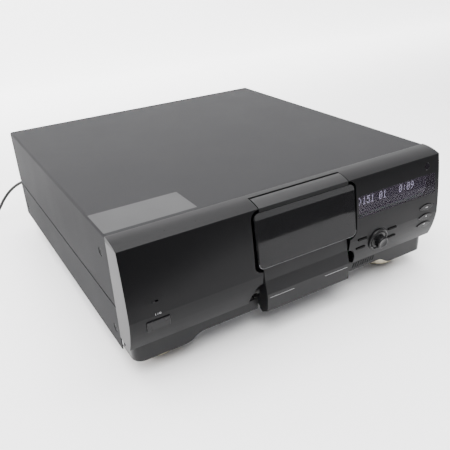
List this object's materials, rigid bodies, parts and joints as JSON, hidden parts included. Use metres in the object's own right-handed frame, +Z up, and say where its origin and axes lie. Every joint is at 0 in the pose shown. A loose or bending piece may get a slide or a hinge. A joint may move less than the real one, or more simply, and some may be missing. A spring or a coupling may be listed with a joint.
{
  "type": "multi disc cd changer",
  "caption": "Wide hi-fi disc changer with a moulded front, a tilting loading door, display, keys, dial, round feet, and a slotted carousel with its player inside.",
  "frame": {"origin": "on the floor, under the middle of the player without its cord", "axes": "+X to the right seen from the front, +Y from the front to the back, +Z up"},
  "size_m": [0.627, 0.547, 0.167],
  "materials": {
    "cover_paint": "matte",
    "front_black": "gloss",
    "satin_black": "satin",
    "window_tint": "polished",
    "display_dark": "gloss",
    "tube_glass": "gloss",
    "bare_steel": "brushed",
    "screw_black": "satin",
    "gold_trim": "polished",
    "foot_black": "matte",
    "board_green": "satin",
    "jack_gold": "polished",
    "rack_black": "satin",
    "white_plastic": "satin",
    "motor_steel": "satin",
    "lens_glass": "polished",
    "core_iron": "satin",
    "cord_pvc": "satin",
    "dial_metal": "satin",
    "pad_felt": "matte"
  },
  "bodies": {
    "case": {"bottom_chassis": "bare_steel", "carousel_motor": "motor_steel", "carousel_sensor": "satin_black", "clamp_bracket": "bare_steel", "cord_coil": "cord_pvc", "cord_gland": "cord_pvc", "cord_run": "cord_pvc", "cover_screws": "screw_black", "dial_ring": "dial_metal", "display_tube": "tube_glass", "display_window": "display_dark", "feet": "foot_black", "foot_rings": "gold_trim", "foot_screws": "bare_steel", "front_bezel": "front_black", "front_board": "board_green", "front_skirt": "satin_black", "glide_pads": "pad_felt", "guide_ring": "white_plastic", "guide_rod": "bare_steel", "hinge_brackets": "bare_steel", "ir_lens": "display_dark", "main_board": "board_green", "mains_plug": "cord_pvc", "motor_bracket": "bare_steel", "output_jacks": "jack_gold", "player_frame": "bare_steel", "power_board": "board_green", "power_transformer": "core_iron", "rear_panel": "screw_black", "rear_screws": "bare_steel", "sled_motor": "motor_steel", "spindle_motor": "motor_steel", "top_cover": "cover_paint"},
    "door": {"door_frame": "front_black", "door_window": "window_tint", "hinge_pins": "bare_steel"},
    "power_button": {"power_button": "satin_black"},
    "dial": {"jog_dial": "dial_metal"},
    "timer_slider": {"timer_slider": "satin_black"},
    "carousel": {"carousel_tray": "rack_black", "inner_rack": "rack_black", "outer_rack": "rack_black"},
    "drive_pinion": {"drive_pinion": "white_plastic"},
    "turntable": {"turntable": "satin_black"},
    "clamp_arm": {"clamp_arm": "white_plastic"},
    "clamp_puck": {"clamp_puck": "satin_black"},
    "pickup_sled": {"pickup_sled": "core_iron", "pickup_lens": "lens_glass"},
    "lead_screw": {"lead_screw": "bare_steel"},
    "eject_lever": {"eject_lever": "white_plastic"},
    "play_key": {"play_key": "satin_black"},
    "pause_key": {"pause_key": "satin_black"},
    "stop_key": {"stop_key": "satin_black"},
    "skip_back_key": {"skip_back_key": "satin_black"},
    "search_back_key": {"search_back_key": "satin_black"},
    "skip_next_key": {"skip_next_key": "satin_black"},
    "search_next_key": {"search_next_key": "satin_black"}
  },
  "joints": [
    {"name": "door_hinge", "type": "hinge", "parent": "case", "child": "door", "pos_m": [0.004, -0.2088, 0.04], "axis": [1, 0, 0], "range_deg": [0, 55]},
    {"name": "power_press", "type": "slide", "parent": "case", "child": "power_button", "axis": [0, 0.984, 0.1783], "range_m": [0, 0.0012], "stiffness_N_per_m": 400, "springref_m": -0.0003},
    {"name": "play_key_press", "type": "slide", "parent": "case", "child": "play_key", "axis": [0, 0.9985, -0.055], "range_m": [0, 0.0008], "stiffness_N_per_m": 400, "springref_m": -0.0003},
    {"name": "pause_key_press", "type": "slide", "parent": "case", "child": "pause_key", "axis": [0, 0.9953, 0.0967], "range_m": [0, 0.0008], "stiffness_N_per_m": 400, "springref_m": -0.0003},
    {"name": "stop_key_press", "type": "slide", "parent": "case", "child": "stop_key", "axis": [0, 0.9785, 0.2065], "range_m": [0, 0.0008], "stiffness_N_per_m": 400, "springref_m": -0.0003},
    {"name": "skip_back_key_press", "type": "slide", "parent": "case", "child": "skip_back_key", "axis": [0, 0.9964, 0.0852], "range_m": [0, 0.0008], "stiffness_N_per_m": 400, "springref_m": -0.0003},
    {"name": "search_back_key_press", "type": "slide", "parent": "case", "child": "search_back_key", "axis": [0, 0.9804, 0.1968], "range_m": [0, 0.0008], "stiffness_N_per_m": 400, "springref_m": -0.0003},
    {"name": "skip_next_key_press", "type": "slide", "parent": "case", "child": "skip_next_key", "axis": [0, 0.9964, 0.0852], "range_m": [0, 0.0008], "stiffness_N_per_m": 400, "springref_m": -0.0003},
    {"name": "search_next_key_press", "type": "slide", "parent": "case", "child": "search_next_key", "axis": [0, 0.9804, 0.1968], "range_m": [0, 0.0008], "stiffness_N_per_m": 400, "springref_m": -0.0003},
    {"name": "dial_turn", "type": "hinge", "parent": "case", "child": "dial", "pos_m": [0.115, -0.22976, 0.073], "axis": [0, -0.986, -0.1669], "continuous": true},
    {"name": "timer_slide", "type": "slide", "parent": "case", "child": "timer_slider", "axis": [1, 0, 0], "range_m": [0, 0.0034]},
    {"name": "carousel_turn", "type": "hinge", "parent": "case", "child": "carousel", "pos_m": [0, 0.0092, 0.04], "axis": [0, 0, 1], "continuous": true},
    {"name": "pinion_turn", "type": "hinge", "parent": "case", "child": "drive_pinion", "pos_m": [0.045, 0.0092, 0.043], "axis": [0, 0, 1], "continuous": true},
    {"name": "disc_spin", "type": "hinge", "parent": "case", "child": "turntable", "pos_m": [0, 0.0092, 0.1022], "axis": [1, 0, 0], "continuous": true},
    {"name": "clamp_swing", "type": "hinge", "parent": "case", "child": "clamp_arm", "pos_m": [0.017, 0.0092, 0.0622], "axis": [0, 1, 0], "range_deg": [0, 9], "stiffness_Nm_per_rad": 0.05},
    {"name": "puck_spin", "type": "hinge", "parent": "clamp_arm", "child": "clamp_puck", "pos_m": [0.009, 0.0092, 0.1022], "axis": [1, 0, 0], "continuous": true},
    {"name": "sled_travel", "type": "slide", "parent": "case", "child": "pickup_sled", "axis": [0, 1, 0], "range_m": [0, 0.028]},
    {"name": "screw_turn", "type": "hinge", "parent": "case", "child": "lead_screw", "pos_m": [-0.023, 0.0292, 0.0822], "axis": [0, 1, 0], "range_deg": [0, 5040.2]},
    {"name": "eject_swing", "type": "hinge", "parent": "case", "child": "eject_lever", "pos_m": [-0.014, -0.0128, 0.0482], "axis": [1, 0, 0], "range_deg": [-25, 0]}
  ],
  "couplings": [
    {"joint": "pinion_turn", "follows": "carousel_turn", "ratio": 4.75},
    {"joint": "screw_turn", "follows": "sled_travel", "rad_per_m": 3141.6}
  ]
}
